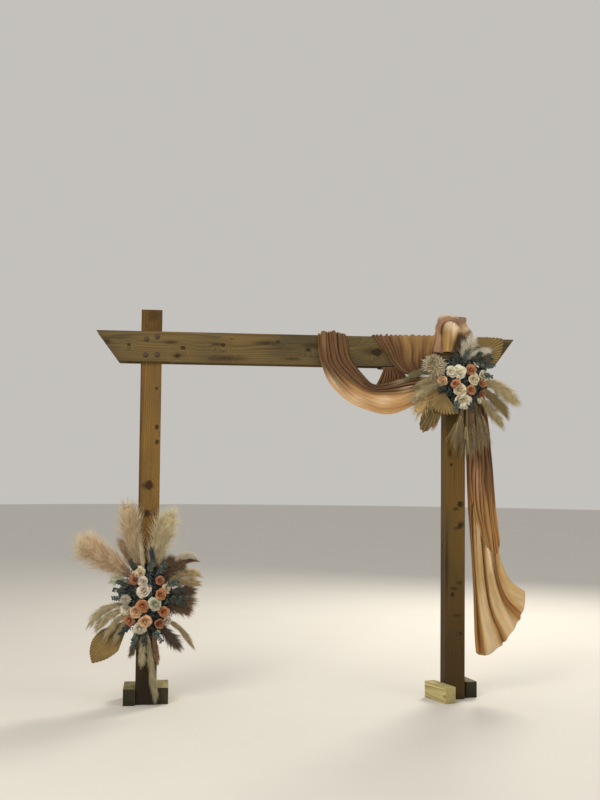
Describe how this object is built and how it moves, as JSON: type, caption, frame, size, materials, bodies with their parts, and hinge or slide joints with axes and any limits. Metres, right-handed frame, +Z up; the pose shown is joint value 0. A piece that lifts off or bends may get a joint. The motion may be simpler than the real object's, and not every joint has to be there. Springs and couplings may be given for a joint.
{
  "type": "draped timber wedding arbor",
  "caption": "Free-standing timber arbor with square posts and a clamping board beam, draped with cloth and dressed with dried and silk flower sprays.",
  "frame": {"origin": "on the ground, midway between the two posts' centre lines, within 15 mm of the middle of the whole arbor's box", "axes": "+X along the beam towards the draped post, -Y is the front with the flowers, +Z up"},
  "size_m": [3.1586, 0.4703, 2.684],
  "materials": {
    "post_timber": "weathered",
    "beam_timber": "weathered",
    "offcut_timber": "sawn",
    "drape_cloth": "sheer chiffon",
    "silk_petals": "soft",
    "silk_foliage": "soft",
    "dried_plume": "fluffy",
    "dried_palm": "dry"
  },
  "bodies": {
    "root": {"back_beam_board": "beam_timber", "drape_beam_wrap": "drape_cloth", "drape_hood": "drape_cloth", "drape_swag": "drape_cloth", "drape_tail": "drape_cloth", "front_beam_board": "beam_timber", "left_foot_block_inner": "offcut_timber", "left_foot_block_outer": "offcut_timber", "left_post": "post_timber", "lower_blooms_bottom": "silk_petals", "lower_blooms_left": "silk_petals", "lower_blooms_right": "silk_petals", "lower_blooms_top": "silk_petals", "lower_foliage": "silk_foliage", "lower_palm_fan": "dried_palm", "lower_pampas_cream": "dried_plume", "lower_pampas_left": "dried_plume", "lower_pampas_up_left": "dried_plume", "lower_pampas_up_right": "dried_plume", "lower_plume_bronze": "dried_plume", "lower_plume_tan": "dried_plume", "lower_plumes_hanging": "dried_plume", "lower_plumes_plum": "dried_plume", "lower_plumes_rust": "dried_plume", "lower_spike": "silk_foliage", "lower_tuft_green": "dried_plume", "right_foot_block_inner": "offcut_timber", "right_foot_block_outer": "offcut_timber", "right_post": "post_timber", "upper_blooms_centre": "silk_petals", "upper_blooms_left": "silk_petals", "upper_blooms_outer": "silk_petals", "upper_blooms_right": "silk_petals", "upper_foliage": "silk_foliage", "upper_palm_fan_left": "dried_palm", "upper_palm_fan_right": "dried_palm", "upper_plume_gold": "dried_plume", "upper_plume_right_high": "dried_plume", "upper_plume_right_low": "dried_plume", "upper_plume_right_mid": "dried_plume", "upper_plume_top": "dried_plume", "upper_plumes_left": "dried_plume", "upper_spiky_flower": "silk_petals", "upper_wheat": "dried_plume"}
  },
  "joints": []
}
